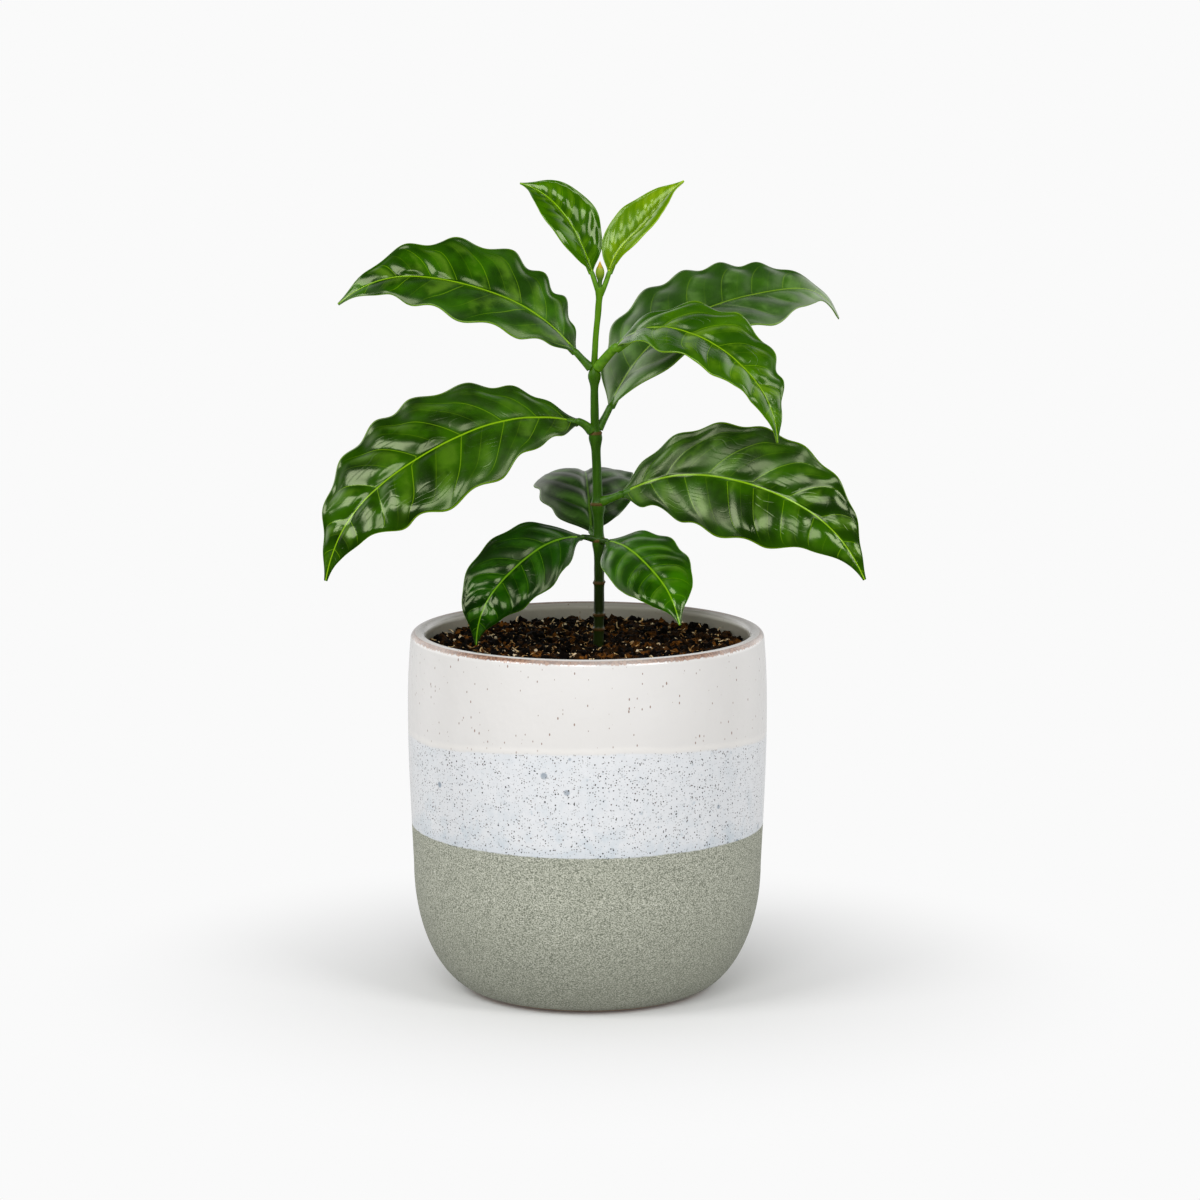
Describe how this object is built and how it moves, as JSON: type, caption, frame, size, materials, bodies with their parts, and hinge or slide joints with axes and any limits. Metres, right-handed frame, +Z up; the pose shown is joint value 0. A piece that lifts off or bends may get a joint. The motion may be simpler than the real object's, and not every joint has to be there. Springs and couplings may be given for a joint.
{
  "type": "potted coffee plant",
  "caption": "Young coffee plant with a slender upright stem and large wavy glossy leaves, rooted in a round glazed ceramic pot that stands on its flat foot.",
  "frame": {"origin": "centre of the pot's flat underside", "axes": "+Z up along the pot's axis, +X to the right as the picture shows the plant, +Y to the back"},
  "size_m": [0.1774, 0.1329, 0.271],
  "materials": {
    "pot_glaze": "gloss",
    "soil": "matte",
    "stem": "matte",
    "bud": "satin",
    "petiole": "satin",
    "leaf_youngest": "gloss",
    "leaf_young": "gloss",
    "leaf_light_green": "gloss",
    "leaf_green": "gloss",
    "leaf_dark_green": "gloss"
  },
  "bodies": {
    "root": {"pot": "pot_glaze", "soil": "soil", "stem": "stem", "bud": "bud", "petiole_top_left": "petiole", "leaf_top_left": "leaf_young", "petiole_top_right": "petiole", "leaf_top_right": "leaf_youngest", "petiole_upper_left": "petiole", "leaf_upper_left": "leaf_green", "petiole_upper_front": "petiole", "leaf_upper_front": "leaf_light_green", "petiole_upper_back": "petiole", "leaf_upper_back": "leaf_green", "petiole_middle_left": "petiole", "leaf_middle_left": "leaf_green", "petiole_middle_right": "petiole", "leaf_middle_right": "leaf_green", "petiole_middle_back": "petiole", "leaf_middle_back": "leaf_dark_green", "petiole_low_left": "petiole", "leaf_low_left": "leaf_dark_green", "petiole_low_right": "petiole", "leaf_low_right": "leaf_dark_green"}
  },
  "joints": []
}
